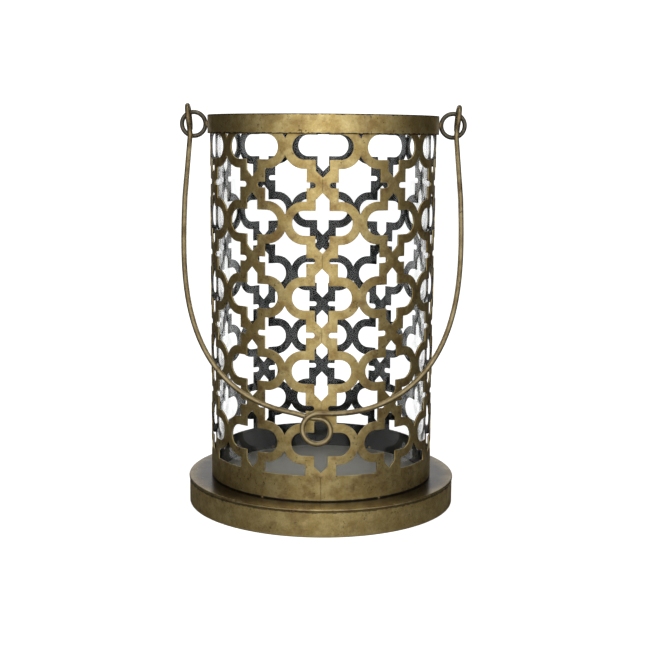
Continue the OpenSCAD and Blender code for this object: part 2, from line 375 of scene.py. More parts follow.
def cut(bm, place, direction, clear=True):
    """Cuts the mesh by a plane, and clears what lies in front of it."""
    bmesh.ops.bisect_plane(bm, geom=everything(bm), dist=CUT_REACH, plane_co=place, plane_no=direction,
                           clear_outer=clear)


def plain_strip(bm, line_y, edge_y):
    """Joins the row of vertices on a line, and extrudes it to the sheet's edge."""
    row = sorted((v for v in bm.verts if abs(v.co.y - line_y) < TOUCHING), key=lambda v: v.co.x)
    for a, b in zip(row, row[1:]):
        if bm.edges.get((a, b)) is None:
            bm.edges.new((a, b))
    edges = [bm.edges.get(pair) for pair in zip(row, row[1:])]
    for v in only_verts(bmesh.ops.extrude_edge_only(bm, edges=edges)["geom"]):
        v.co.y = edge_y


cut(sheet, (0, foot_line, 0), (0, -1, 0))
cut(sheet, (0, top_line, 0), (0, 1, 0))
plain_strip(sheet, foot_line, base_h)
plain_strip(sheet, top_line, sleeve_top)
print(f"with its strips: {len(sheet.faces)} faces")

# %% [markdown]
# Now the sheet gets its thickness. Extruding the whole face region leaves the first faces in place and
# makes the walls of every opening. The edges between the flat sides and those walls are softened while
# the sheet is still flat, because there each corner is simple and the bevel stays even. The spare columns
# at either side make the bevel right at the column's own ends, and then they are cut away.

# %% Thicken the sheet and soften its edges
PIERCED_EDGE = 0.14 * MM


def on_one_side(edge):
    """True for an edge that lies in the sheet's front or back, and not through its thickness."""
    return abs(edge.verts[0].co.z - edge.verts[1].co.z) < 0.1 * sheet_t


solid = bmesh.ops.extrude_face_region(sheet, geom=sheet.faces[:])["geom"]
bmesh.ops.translate(sheet, verts=only_verts(solid), vec=(0, 0, -sheet_t))
bmesh.ops.recalc_face_normals(sheet, faces=sheet.faces)
print("softened edges:", soften(sheet, PIERCED_EDGE, segments=2, keep=on_one_side))
cut(sheet, (cell_w, 0, 0), (-1, 0, 0))
cut(sheet, (2 * cell_w, 0, 0), (1, 0, 0))

# %% [markdown]
# A flat face can't follow a curve, so the column is cut into narrow upright slices before it is rolled.
# Rolling is one line of arithmetic for each vertex: its distance across the sheet becomes an angle, and its
# depth in the sheet becomes a change of radius. Ten turned copies close the tube.

# %% Slice the column, and roll the sheet
SLICES = 16
FEW_CORNERS = 4              # a face with more corners than this is cut into triangles
for i in range(1, SLICES):
    cut(sheet, (cell_w * (1 + i / SLICES), 0, 0), (1, 0, 0), clear=False)
bmesh.ops.triangulate(sheet, faces=[f for f in sheet.faces if len(f.verts) > FEW_CORNERS])
for v in sheet.verts:
    angle, radius = v.co.x / sleeve_r, sleeve_r + v.co.z
    v.co = (radius * math.sin(angle), -radius * math.cos(angle), v.co.y)
first = everything(sheet)
for i in range(1, columns):
    copy = only_verts(bmesh.ops.duplicate(sheet, geom=first)["geom"])
    bmesh.ops.rotate(sheet, verts=copy, cent=(0, 0, 0),
                     matrix=Matrix.Rotation(2 * math.pi * i / columns, 3, "Z"))
merge(sheet)
print("open edges left in the rolled sheet:", sum(len(e.link_faces) != 2 for e in sheet.edges))
sleeve = finish_piece(sheet, "lattice_sleeve", "lantern", ["pierced_sleeve"])

# %% [markdown]
# ## Weld beads
#
# A weld bead is metal that froze as it flowed, so it is round and slightly lumpy. A small sphere, squashed
# and pushed about by smooth noise, looks like one. The noise depends only on the place, so every run gives
# the same beads. The seam is a row of ripples, each so flat that it hardly stands out of the sheet, and it
# ends in a larger drop at the top of the foot strip.


# %% Shape a bead
LUMP, LUMP_SCALE = 0.12, 1.7  # how deep the lumps are, and how many there are


def bead(bm, place, size, subdivisions=2):
    """Adds a lumpy ball of this size, given as three radii."""
    ball = bmesh.ops.create_icosphere(bm, subdivisions=subdivisions, radius=1)["verts"]
    for v in ball:
        v.co *= 1 + LUMP * noise.noise(v.co * LUMP_SCALE + Vector(place) / MM)
    bmesh.ops.scale(bm, verts=ball, vec=size)
    return ball


def turned_bead(bm, radius, angle, z, size, **shape):
    """A bead at this angle around the lantern, from the front, with its first size pointing outwards."""
    ball = bead(bm, (radius, angle, z), size, **shape)
    turn = Matrix.Rotation(angle - math.pi / 2, 4, "Z")
    bmesh.ops.transform(bm, verts=ball, matrix=turn @ Matrix.Translation((radius, 0, z)))


# %% Seam, tacks and ring welds
SEAM_SUNK = 0.05 * MM        # the seam's middle lies this deep in the sheet
SEAM_END_GAP = 1 * MM        # the seam stops this far from the foot strip's edges
CROSSING_HALF = 3.6 * MM     # half the seam's length at each crossing
FOOT_PROUD, CROSSING_PROUD = 0.2 * MM, 0.12 * MM
RIPPLE = 0.62 * MM           # from one ripple of the seam to the next
RIPPLE_HALF_W, RIPPLE_HALF_H = 0.34 * MM, 0.48 * MM
DROP_SINK, DROP_SIZE = 0.6 * MM, (0.4 * MM, 0.9 * MM, 0.8 * MM)

bm = bmesh.new()
seam_r = sleeve_r - SEAM_SUNK
crossings = [first_row + (row + 0.5) * cell_h for row in range(rows - 1)]
stretches = [(base_h + SEAM_END_GAP, foot_line - SEAM_END_GAP, FOOT_PROUD)]
stretches += [(z - CROSSING_HALF, z + CROSSING_HALF, CROSSING_PROUD) for z in crossings]
for low, high, proud in stretches:
    count = round((high - low) / RIPPLE)
    for i in range(count):
        z = low + (i + 0.5) * (high - low) / count
        turned_bead(bm, seam_r, 0, z, (proud, RIPPLE_HALF_W, RIPPLE_HALF_H), subdivisions=1)
turned_bead(bm, seam_r, 0, foot_line - DROP_SINK, DROP_SIZE)
seam = finish_piece(bm, "seam_bead", "lantern", ["sleeve_seam_weld"])

TACKS, TACK_SIZE = 6, (1.3 * MM, 1.5 * MM, 1.3 * MM)
bm = bmesh.new()
for i in range(TACKS):
    turned_bead(bm, sleeve_r - sheet_t, (i + 0.5) * 2 * math.pi / TACKS, base_h, TACK_SIZE)
tacks = finish_piece(bm, "tack_beads", "lantern", ["sleeve_tack_welds"])

RING_BEAD_SIZE = (1.3 * MM, 1.4 * MM, 2.1 * MM)
BEAD_OUT, BEAD_ASIDE = 0.6 * MM, 0.3 * MM  # from the band's face, and from the wire's side
bm = bmesh.new()
ring_z = (band_z + rim_z) / 2
for side in (-1, 1):
    for edge in (-1, 1):
        place = Vector((side * (band_r + BEAD_OUT), edge * (ring_wire / 2 + BEAD_ASIDE), ring_z))
        ball = bead(bm, place, RING_BEAD_SIZE, subdivisions=3)
        bmesh.ops.translate(bm, verts=ball, vec=place)
ring_beads = finish_piece(bm, "ring_beads", "lantern", ["ring_welds"])

# %% [markdown]
# ## Rings
#
# Each ring is round wire, bent and welded to the band. A small circle spun about the ring's own axis makes
# it. The ring lies in the upright plane across the lantern, so the axis is Y.

# %% Rings
WIRE_SIDES, RING_STEPS = 24, 96
for name, node in (("ring_at_left", "ring_left"), ("ring_at_right", "ring_right")):
    low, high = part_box(node)
    middle = (low + high) / 2
    ring_r = (high.z - low.z - ring_wire) / 2
    bm = bmesh.new()
    section = bmesh.ops.create_circle(bm, cap_ends=False, radius=ring_wire / 2,
                                      segments=WIRE_SIDES)["verts"]
    bmesh.ops.translate(bm, verts=section, vec=(ring_r, 0, 0))
    bmesh.ops.transform(bm, verts=section, matrix=Matrix.Translation(middle))
    bmesh.ops.spin(bm, geom=everything(bm), cent=middle, axis=(0, 1, 0), angle=2 * math.pi,
                   steps=RING_STEPS, use_merge=True)
    finish_piece(bm, name, "lantern", [node])

# %% [markdown]
# ## Bail
#
# The bail is one length of wire: an eye at each end, two straight legs, a wide arch and a single turn in
# the middle, which makes a finger loop. Wire is what Blender's curves are for: a path with a round bevel
# keeps its thickness along every bend. The path is worked out flat, as across, down and forward, and then
# leaned back until the arch rests against the sleeve.

# %% Where the bail hangs
swing = next(j for j in frame["joints"] if j["name"] == "bail_swing")
axis_z = swing["pos_m"][2]
ring_x = (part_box("ring_right")[0].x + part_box("ring_right")[1].x) / 2
eye_x = ring_x + 3 * MM      # the eye's middle, a little further out than the ring's
eye_r = 7.3 * MM             # to the middle of the wire, as every radius of the bail
eye_hang = 1.5 * MM          # from the swing axis down to the eye's middle
eye_lean = math.radians(6)
arch_w = eye_x + 0.6 * MM    # half the arch's width, from the middle to the foot of a leg
leg_drop = 55 * MM           # from the axis to where the legs end and the arch begins
loop_r = 8.3 * MM
loop_tight = 1.2 * MM        # the turn starts this much wider and ends this much tighter
loop_x = -2.1 * MM
loop_gap = 0.2 * MM          # half the gap where the wire crosses itself
loop_depth = bail_wire / 2 + loop_gap
rest_gap = 0.3 * MM          # between the wire and the sleeve that it leans on
rest_rise = 51.7 * MM        # how far above the base it leans there

rest_y = sleeve_r + bail_wire / 2 + rest_gap
rest_z = axis_z - base_h - rest_rise
rear_s = math.sqrt(rest_y ** 2 + rest_z ** 2 - loop_depth ** 2)
bail_drop = rear_s - 2 * loop_tight
loop_s = bail_drop + loop_r + loop_tight
lean = math.atan(rest_y / rest_z) + math.atan(loop_depth / rear_s)
print(f"the bail leans {math.degrees(lean):.2f} degrees from upright")

# %% The arch and the eyes
X_POWER, S_POWER = 2.3, 3.0  # the arch is a superellipse: squarer than a round one
EYE_START, EYE_TURN = 35, 290  # the eye's bend, in degrees from its lowest point
EYE_STEPS, BEND_STEPS, LEG_STEPS = 48, 4, 8
BEND = 3 * MM                # length of the small bend from the eye into the leg


def smooth(t):
    """0 below 0 and 1 above 1, with a smooth step between them."""
    t = min(max(t, 0.0), 1.0)
    return t * t * (3 - 2 * t)


def arch_at(x):
    """How far below the axis the arch is, this far across."""
    return leg_drop + (bail_drop - leg_drop) * (1 - (abs(x) / arch_w) ** X_POWER) ** (1 / S_POWER)


def arch_point(t, side):
    """A point of the arch, from the foot of a leg at t = 0 to the middle at t = pi / 2."""
    x = arch_w * max(math.cos(t), 0) ** (2 / X_POWER)
    s = leg_drop + (bail_drop - leg_drop) * math.sin(t) ** (2 / S_POWER)
    return Vector((side * x, s, 0))


def eye_point(degrees, radius):
    """A point on a circle about the right eye's middle, from its lowest point."""
    a = math.radians(degrees)
    return Vector((eye_x - radius * math.cos(a) * math.sin(eye_lean),
                   eye_hang + radius * math.cos(a) * math.cos(eye_lean), radius * math.sin(a)))


def end_of_wire():
    """The right eye, from its free end round to the top of the leg."""
    points = [eye_point(EYE_START + EYE_TURN * i / EYE_STEPS, eye_r) for i in range(EYE_STEPS, -1, -1)]
    reach = eye_r / math.cos(math.radians(EYE_START))
    start, corner, end = points[-1], eye_point(0, reach), eye_point(0, reach + BEND)
    for i in range(1, BEND_STEPS + 1):
        t = i / BEND_STEPS
        points.append((1 - t) ** 2 * start + 2 * t * (1 - t) * corner + t * t * end)
    leg_foot = Vector((arch_w, leg_drop, 0))
    return points + [end.lerp(leg_foot, i / LEG_STEPS) for i in range(1, LEG_STEPS + 1)]


# %% [markdown]
# The middle of the wire needs a third direction, because a turn has to pass over itself. From the right
# the arch rises forwards into the turn, the turn crosses from front to rear, and the arch leaves on the
# rear side and settles back into its own plane on the left.

# %% The whole path
FRONT_REACH, REAR_REACH = 25 * MM, 37 * MM  # where the arch starts to rise, and where it has settled
SETTLE, REAR_FLAT = 16 * MM, 12 * MM        # how far the dip reaches, and the stretch at the rear
ARCH_STEPS, RISE_STEPS, TURN_OF_WIRE, FALL_STEPS = 40, 12, 48, 16


def bail_path():
    """The whole wire, from the right eye's end through the turn to the left eye's end."""
    right_end = math.acos((FRONT_REACH / arch_w) ** (X_POWER / 2))
    left_end = math.acos(((REAR_REACH - loop_x) / arch_w) ** (X_POWER / 2))
    right = end_of_wire() + [arch_point(right_end * i / ARCH_STEPS, 1) for i in range(1, ARCH_STEPS)]
    for i in range(RISE_STEPS, -1, -1):
        x = FRONT_REACH * i / RISE_STEPS
        right.append(Vector((x, arch_at(x), loop_depth * smooth(1 - x / FRONT_REACH))))
    turn = []
    for i in range(TURN_OF_WIRE + 1):
        a = 2 * math.pi * i / TURN_OF_WIRE
        r = loop_r + loop_tight * (1 - a / math.pi)
        turn.append(Vector((loop_x - r * math.sin(a), loop_s - r * math.cos(a),
                            loop_depth * (1 - 2 * smooth((math.degrees(a) - 90) / 180)))))
    left = []
    for i in range(1, FALL_STEPS + 1):
        x = loop_x - REAR_REACH * i / FALL_STEPS
        dip = (rear_s - bail_drop) * (1 - smooth((loop_x - x) / SETTLE))
        left.append(Vector((x, arch_at(x) + dip,
                            -loop_depth * (1 - smooth((-x - REAR_FLAT) / FRONT_REACH)))))
    left += [arch_point(left_end * i / ARCH_STEPS, -1) for i in range(ARCH_STEPS - 1, 0, -1)]
    left += [Vector((-p.x, p.y, p.z)) for p in reversed(end_of_wire())]
    return right + turn + left


# %% Sweep the wire
ROUNDNESS = 6                # steps in the wire's section, as the curve's bevel counts them
WIRE_END = 0.5 * MM          # how far the wire's two cut ends are rounded

path = bail_path()
curve = bpy.data.curves.new("bail_path", "CURVE")
curve.dimensions = "3D"
curve.bevel_depth = bail_wire / 2
curve.bevel_resolution = ROUNDNESS
curve.use_fill_caps = True
spline = curve.splines.new("POLY")
spline.points.add(len(path) - 1)
hang = Matrix.Translation((0, 0, axis_z)) @ Matrix.Rotation(-lean, 4, "X")
for point, (x, s, n) in zip(spline.points, path):
    point.co = (*(hang @ Vector((x, -n, -s))), 1)
swept = bpy.data.objects.new("bail_path", curve)
bpy.context.scene.collection.objects.link(swept)
bm = bmesh.new()
bm.from_mesh(swept.to_mesh())
bpy.data.objects.remove(swept)
merge(bm)
bmesh.ops.recalc_face_normals(bm, faces=bm.faces)
soften(bm, WIRE_END)
bail = finish_piece(bm, "wire_bail", "bail", ["bail"])
length = sum((b - a).length for a, b in zip(path, path[1:]))
print(f"the bail is {length:.3f} m of wire")

# %% [markdown]
# ## Finishes
#
# The whole lantern is dark steel, painted antique gold on the outside. The paint was dabbed on thinly, so
# it is cloudy, with brown stains and dark specks where the steel shows. Several finishes share that look,
# so it is a shader node group, built once and placed in each material with its own colours. The patterns
# read Object coordinates, in metres, which keeps each one the same size on every piece.
#
# A group hands out only colours, masks and heights. The shader that uses them stays in the material.


# %% Helpers for nodes
def add(tree, kind, **values):
    """Adds a node. Values named like its inputs are set, and a socket given as a value is linked."""
    node = tree.nodes.new(kind)
    for name, value in values.items():
        key = name.replace("_", " ")
        if hasattr(node, name) and key not in node.inputs:
            setattr(node, name, value)
        elif isinstance(value, bpy.types.NodeSocket):
            tree.links.new(value, node.inputs[key])
        else:
            node.inputs[key].default_value = value
    return node


def math_node(tree, operation, *values):
    """A sum, product or other operation, of sockets or of plain numbers."""
    node = tree.nodes.new("ShaderNodeMath")
    node.operation = operation
    for socket, value in zip(node.inputs, values):
        if isinstance(value, bpy.types.NodeSocket):
            tree.links.new(value, socket)
        else:
            socket.default_value = value
    return node.outputs[0]


def ramp(tree, value, low, high):
    """0 below low and 1 above high, with a smooth step between them."""
    node = add(tree, "ShaderNodeMapRange", interpolation_type="SMOOTHSTEP", Value=value)
    node.inputs["From Min"].default_value, node.inputs["From Max"].default_value = low, high
    return node.outputs["Result"]


# %% More helpers: mixing, noise and groups
def blend_colours(tree, factor, a, b):
    """Colour a where the factor is 0 and colour b where it is 1."""
    node = tree.nodes.new("ShaderNodeMix")
    node.data_type = "RGBA"
    for name, value in (("Factor_Float", factor), ("A_Color", a), ("B_Color", b)):
        socket = next(s for s in node.inputs if s.identifier == name)
        if isinstance(value, bpy.types.NodeSocket):
            tree.links.new(value, socket)
        else:
            socket.default_value = value
    return next(s for s in node.outputs if s.identifier == "Result_Color")


def noise_at(tree, vector, scale, detail=3.0, roughness=0.55):
    """Noise from 0 to 1. The scale is in waves for each metre: at 100, a patch is about 10 mm across."""
    node = add(tree, "ShaderNodeTexNoise", Vector=vector, Scale=scale, Detail=detail)
    node.inputs["Roughness"].default_value = roughness
    return node.outputs["Fac"]


def new_group(name, inputs, outputs):
    """An empty node group with named sockets. Each socket is (name, kind, default or None)."""
    group = bpy.data.node_groups.new(name, "ShaderNodeTree")
    for direction, sockets in (("INPUT", inputs), ("OUTPUT", outputs)):
        for label, kind, default in sockets:
            socket = group.interface.new_socket(label, in_out=direction, socket_type="NodeSocket" + kind)
            if default is not None:
                socket.default_value = default
    return group, group.nodes.new("NodeGroupInput"), group.nodes.new("NodeGroupOutput")


# %% [markdown]
# The dabbed paint is made of layers of noise. Slow clouds drift between two shades of the paint. Brown
# stains appear where a second noise is high, and they are duller too. Specks, about a millimetre across,
# show where the paint missed the steel, in some patches more than in others. The finest noise is the grain:
# it makes each shade a little lighter or darker, and gives the surface its relief.

# %% Group: dabbed paint
CLOUDS, BLOTCHES, SPECKS, SPECK_PATCHES, GRAIN = 130.0, 100.0, 620.0, 90.0, 1000.0

dabbed, enter, leave = new_group(
    "dabbed_paint",
    [("Vector", "Vector", None), ("Paint", "Color", (0.4, 0.3, 0.12, 1)),
     ("Pale Paint", "Color", (0.5, 0.4, 0.2, 1)), ("Stain", "Color", (0.16, 0.09, 0.035, 1)),
     ("Bare", "Color", (0.03, 0.025, 0.02, 1)), ("Stain Amount", "Float", 0.5),
     ("Speck Amount", "Float", 0.5)],
    [("Color", "Color", None), ("Roughness", "Float", None), ("Height", "Float", None)])
where = enter.outputs["Vector"]
clouds = ramp(dabbed, noise_at(dabbed, where, CLOUDS, 5.0, 0.72), 0.34, 0.70)
blotch = noise_at(dabbed, where, BLOTCHES, 5.0, 0.62)
stain = math_node(dabbed, "MULTIPLY", ramp(dabbed, blotch, 0.47, 0.68), enter.outputs["Stain Amount"])
dots = noise_at(dabbed, where, SPECKS, 3.0, 0.6)
patches = ramp(dabbed, noise_at(dabbed, where, SPECK_PATCHES, 2.0), 0.4, 0.7)
uneven = math_node(dabbed, "MULTIPLY_ADD", patches, 0.09, dots)
speck = math_node(dabbed, "MULTIPLY", ramp(dabbed, uneven, 0.66, 0.74), enter.outputs["Speck Amount"])
grain = noise_at(dabbed, where, GRAIN, 3.0, 0.7)
colour = blend_colours(dabbed, clouds, enter.outputs["Paint"], enter.outputs["Pale Paint"])
colour = blend_colours(dabbed, stain, colour, enter.outputs["Stain"])
colour = blend_colours(dabbed, speck, colour, enter.outputs["Bare"])
shade = math_node(dabbed, "MULTIPLY_ADD", grain, 0.6, 0.7)
vary = dabbed.nodes.new("ShaderNodeVectorMath")
vary.operation = "SCALE"
dabbed.links.new(colour, vary.inputs[0])
dabbed.links.new(shade, vary.inputs["Scale"])
dabbed.links.new(vary.outputs[0], leave.inputs["Color"])
rough = math_node(dabbed, "MULTIPLY_ADD", blotch, 0.22, 0.30)
rough = math_node(dabbed, "MULTIPLY_ADD", speck, 0.15, rough)
dabbed.links.new(rough, leave.inputs["Roughness"])
relief = math_node(dabbed, "MULTIPLY_ADD", grain, 0.35, math_node(dabbed, "MULTIPLY", blotch, 0.65))
relief = math_node(dabbed, "SUBTRACT", relief, math_node(dabbed, "MULTIPLY", speck, 0.3))
dabbed.links.new(relief, leave.inputs["Height"])
print("group", dabbed.name, "has", len(dabbed.nodes), "nodes")

# %% [markdown]
# Some marks run along a line: at a rim, at the foot of the sleeve, at a seam. The dark line at the sleeve's
# foot and the one in the seam under the base's rim are painted shade. The second group gives a mask that is 1
# at a chosen value of any measure, such as a height or a radius, and fades away from it. Noise breaks the
# line up.

# %% Group: broken line
BREAKS = 380.0                # noise scale of the breaks in a line

broken, enter, leave = new_group(
    "broken_line",
    [("Vector", "Vector", None), ("Measure", "Float", 0.0), ("Line", "Float", 0.0), ("Width", "Float", 0.001),
     ("Ragged", "Float", 0.5)],
    [("Mask", "Float", None)])
gap = math_node(broken, "SUBTRACT", enter.outputs["Measure"], enter.outputs["Line"])
gap = math_node(broken, "ABSOLUTE", gap)
gap = math_node(broken, "DIVIDE", gap, enter.outputs["Width"])
ragged = math_node(broken, "SUBTRACT", noise_at(broken, enter.outputs["Vector"], BREAKS, 4.0, 0.65), 0.5)
ragged = math_node(broken, "MULTIPLY", ragged, enter.outputs["Ragged"])
gap = math_node(broken, "MULTIPLY_ADD", ragged, 4.0, gap)
fade = add(broken, "ShaderNodeMapRange", interpolation_type="SMOOTHSTEP", Value=gap)
for label, value in (("From Min", 0.6), ("From Max", 1.2), ("To Min", 1.0), ("To Max", 0.0)):
    fade.inputs[label].default_value = value
broken.links.new(fade.outputs["Result"], leave.inputs["Mask"])
print("group", broken.name, "has", len(broken.nodes), "nodes")


# %% [markdown]
# Every finish starts the same way: one Principled BSDF, the piece's Object coordinates, and a Bump node that
# turns a height into a change of normal. What differs is the colour, the roughness and the height that are
# fed to them, so that is all the finishes below have to say.

# %% Start a material
RELIEF = 0.1 * MM            # how deep a height of 1 is


def new_material(name, metallic, bump):
    """A material with its Object coordinates, and a bump that takes a height."""
    material = bpy.data.materials.new(name)
    material.use_nodes = True
    tree = material.node_tree
    tree.nodes.clear()
    shader = add(tree, "ShaderNodeBsdfPrincipled", Metallic=metallic)
    output = tree.nodes.new("ShaderNodeOutputMaterial")
    tree.links.new(shader.outputs["BSDF"], output.inputs["Surface"])
    where = tree.nodes.new("ShaderNodeTexCoord").outputs["Object"]
    relief = add(tree, "ShaderNodeBump", Strength=bump, Distance=RELIEF)
    tree.links.new(relief.outputs["Normal"], shader.inputs["Normal"])
    return material, tree, shader, where, relief


def place_group(tree, group, **values):
    """A node group in a material, with its inputs set or linked as add() does."""
    node = tree.nodes.new("ShaderNodeGroup")
    node.node_tree = group
    for name, value in values.items():
        socket = node.inputs[name.replace("_", " ")]
        if isinstance(value, bpy.types.NodeSocket):
            tree.links.new(value, socket)
        else:
            socket.default_value = value
    return node


def measures(tree, where):
    """The distance from the lantern's upright axis, and the height."""
    parts = add(tree, "ShaderNodeSeparateXYZ", Vector=where)
    across = math_node(tree, "POWER", parts.outputs["X"], 2.0)
    across = math_node(tree, "MULTIPLY_ADD", parts.outputs["Y"], parts.outputs["Y"], across)
    return math_node(tree, "SQRT", across), parts.outputs["Z"]


def put_on(tree, shader, relief, colour, rough, height):
    """Feeds a finish's colour, roughness and height to its material."""
    tree.links.new(colour, shader.inputs["Base Color"])
    tree.links.new(rough, shader.inputs["Roughness"])
    tree.links.new(height, relief.inputs["Height"])


def wear(*objects, material):
    """Gives the pieces this material and no other."""
    for piece in objects:
        piece.data.materials.clear()
        piece.data.materials.append(material)
    print(material.name, "is on", [piece.name for piece in objects])


# %% [markdown]
# Each kind of paint is a set of four colours: two shades of the paint, the stain, and the bare metal under
# it. They are linear values of red, green and blue, with an alpha of 1. On a metal the base colour is the
# colour of its reflections, which is why gold paint has such a strong one.

# %% Paints
PALE_GOLD = (0.61, 0.485, 0.22, 1)
STAIN = (0.17, 0.085, 0.032, 1)
# Bare steel where the paint missed; the same colour also paints the shade at the sleeve's foot and in the
# seam under the base's rim.
STEEL_AND_SHADE = (0.035, 0.030, 0.022, 1)
GUNMETAL = (0.020, 0.021, 0.020, 1)
PALE_GUNMETAL = (0.032, 0.034, 0.033, 1)
DULL_GREY = (0.21, 0.20, 0.17, 1)


def mix_paint(paint, pale, stain=STAIN, bare=STEEL_AND_SHADE):
    """Four colours under the names that the dabbed paint's inputs have."""
    return {"Paint": paint, "Pale_Paint": pale, "Stain": stain, "Bare": bare}


GOLD = mix_paint((0.43, 0.305, 0.108, 1), PALE_GOLD)
# A lighter copy of the gold for the hoop: painted light, so the hoop reads brighter than the sleeve's shaded
# foot.
LIT_GOLD = mix_paint((0.57, 0.41, 0.15, 1), (0.80, 0.63, 0.28, 1))
# A darker copy of the gold for the base's top: painted shade.
SHADED_GOLD = mix_paint((0.27, 0.195, 0.075, 1), (0.40, 0.31, 0.14, 1))
SEAM_GOLD = mix_paint((0.33, 0.24, 0.095, 1), (0.50, 0.40, 0.19, 1))
RUBBED_GOLD = mix_paint((0.24, 0.18, 0.085, 1), (0.38, 0.305, 0.165, 1), (0.11, 0.065, 0.03, 1))
RING_BRONZE = mix_paint((0.08, 0.07, 0.049, 1), (0.15, 0.13, 0.09, 1), (0.05, 0.038, 0.025, 1))
WELD_BROWN = mix_paint((0.20, 0.13, 0.06, 1), (0.36, 0.28, 0.15, 1), (0.10, 0.055, 0.025, 1))
# Painted shade: the base plate's near-black colours by the sleeve, for its contact shadow and its reflection
# of the sleeve's dark foot.
SHADE_BY_SLEEVE = mix_paint((0.030, 0.020, 0.010, 1), (0.050, 0.036, 0.019, 1),
                         (0.018, 0.011, 0.006, 1), (0.012, 0.010, 0.008, 1))

# %% [markdown]
# ### Gold paint on the sleeve
#
# Only the outside of the sleeve was painted gold. The inside is smooth dark steel, and the paint stops
# raggedly inside the cut edges. The distance from the lantern's axis tells the two sides apart, so a mask on
# that distance does it, with no second material and no seam. The paint's relief is multiplied by the same
# mask, so that it ends where the paint does.

# %% Sleeve material
PAINT_FADES, PAINT_FULL = 0.45 * MM, 0.1 * MM  # depths below the sleeve's outer face
PAINT_RAGGED = 0.4 * MM

sleeve_finish, tree, shader, where, relief = new_material("gold_over_steel", 0.92, 0.35)
outside = place_group(tree, dabbed, Vector=where, Stain_Amount=0.6, Speck_Amount=0.6, **GOLD)
inside = blend_colours(tree, ramp(tree, noise_at(tree, where, 60.0), 0.35, 0.65), GUNMETAL, PALE_GUNMETAL)
radius, height = measures(tree, where)
depth = math_node(tree, "MULTIPLY_ADD", noise_at(tree, where, 500.0, 2.0), PAINT_RAGGED, radius)
painted = ramp(tree, depth, sleeve_r - PAINT_FADES, sleeve_r - PAINT_FULL)
# Painted contact shadow: a dark line along the sleeve's foot, where it stands on the plate.
foot = place_group(tree, broken, Vector=where, Measure=height, Line=base_h, Width=1.0 * MM, Ragged=0.2)
colour = blend_colours(tree, painted, inside, outside.outputs["Color"])
colour = blend_colours(tree, foot.outputs["Mask"], colour, STEEL_AND_SHADE)
put_on(tree, shader, relief, colour, outside.outputs["Roughness"],
       math_node(tree, "MULTIPLY", outside.outputs["Height"], painted))
wear(sleeve, material=sleeve_finish)

# %% [markdown]
# ### Gold paint on the band and the base's side
#
# The same paint. A broken dark line runs along the band's two edges. Along the hoop's upper edge, under the
# top plate's rim, a broken dark line is painted shade in the seam. A paler line runs along the hoop's rounded
# lower edge. The hoop's gold is a lighter copy of the sleeve's: painted light, so that the hoop reads
# brighter than the sleeve's shaded foot. The band is dark inside, like the sleeve.

# %% Band material
band_finish, tree, shader, where, relief = new_material("gold_rim", 0.92, 0.35)
paint = place_group(tree, dabbed, Vector=where, Stain_Amount=0.35, Speck_Amount=0.7, **GOLD)
radius, height = measures(tree, where)
colour = paint.outputs["Color"]
for edge in (band_z, rim_z):
    edge_line = place_group(tree, broken, Vector=where, Measure=height, Line=edge, Width=0.6 * MM, Ragged=0.9)
    colour = blend_colours(tree, edge_line.outputs["Mask"], colour, STEEL_AND_SHADE)
within = ramp(tree, radius, band_r - 0.6 * MM, band_r - 0.2 * MM)
colour = blend_colours(tree, within, GUNMETAL, colour)
put_on(tree, shader, relief, colour, paint.outputs["Roughness"], paint.outputs["Height"])
wear(rim, material=band_finish)

# %% Hoop material
PALE_LINE_AT = 0.6 * MM       # height of the paler line along the rounded lower edge

hoop_finish, tree, shader, where, relief = new_material("gold_hoop", 0.9, 0.4)
paint = place_group(tree, dabbed, Vector=where, Stain_Amount=0.4, Speck_Amount=0.5, **LIT_GOLD)
_, height = measures(tree, where)
# Painted shade: a broken dark line in the seam along the hoop's upper edge, under the top plate's rim.
edge_line = place_group(tree, broken, Vector=where, Measure=height, Line=hoop_h, Width=0.8 * MM, Ragged=0.8)
pale_line = place_group(tree, broken, Vector=where, Measure=height, Line=PALE_LINE_AT, Width=0.8 * MM,
                       Ragged=0.4)
seam_shade = math_node(tree, "MULTIPLY", edge_line.outputs["Mask"], 0.75)
colour = blend_colours(tree, seam_shade, paint.outputs["Color"], STEEL_AND_SHADE)
colour = blend_colours(tree, math_node(tree, "MULTIPLY", pale_line.outputs["Mask"], 0.6), colour, PALE_GOLD)
put_on(tree, shader, relief, colour, paint.outputs["Roughness"], paint.outputs["Height"])
wear(side_hoop, material=hoop_finish)

# %% [markdown]
# ### Base plate: gold with painted shade
#
# The base's top is the sleeve's gold paint, smoother, in a darker copy that darkens further to near black
# towards the sleeve: the darker copy and the dark zone are painted shade, and the painted reflection of the
# sleeve's dark foot. A mask on the radius, made uneven by noise, blends the two. Inside the sleeve no gold
# reached it: there it is plain dull grey, and rougher. The plate that closes the base wears the same finish,
# and a mask on the height keeps the grey off it.

# %% Plate material
SHADE_FADES_FROM, SHADE_FADES_TO = sleeve_r + 8 * MM, base_r + 6 * MM
SHADE_UNEVEN = 6 * MM
GREY_EDGE = 2 * MM           # the grey ends this far inside the sleeve's outer face
GREY_DEPTH = 0.5 * MM        # and this far below the top

plate_finish, tree, shader, where, relief = new_material("gold_with_painted_shade", 0.7, 0.25)
paint = place_group(tree, dabbed, Vector=where, Stain_Amount=0.5, Speck_Amount=0.3, **SHADE_BY_SLEEVE)
shaded_gold_paint = place_group(tree, dabbed, Vector=where, Stain_Amount=0.5, Speck_Amount=0.6, **SHADED_GOLD)
radius, height = measures(tree, where)
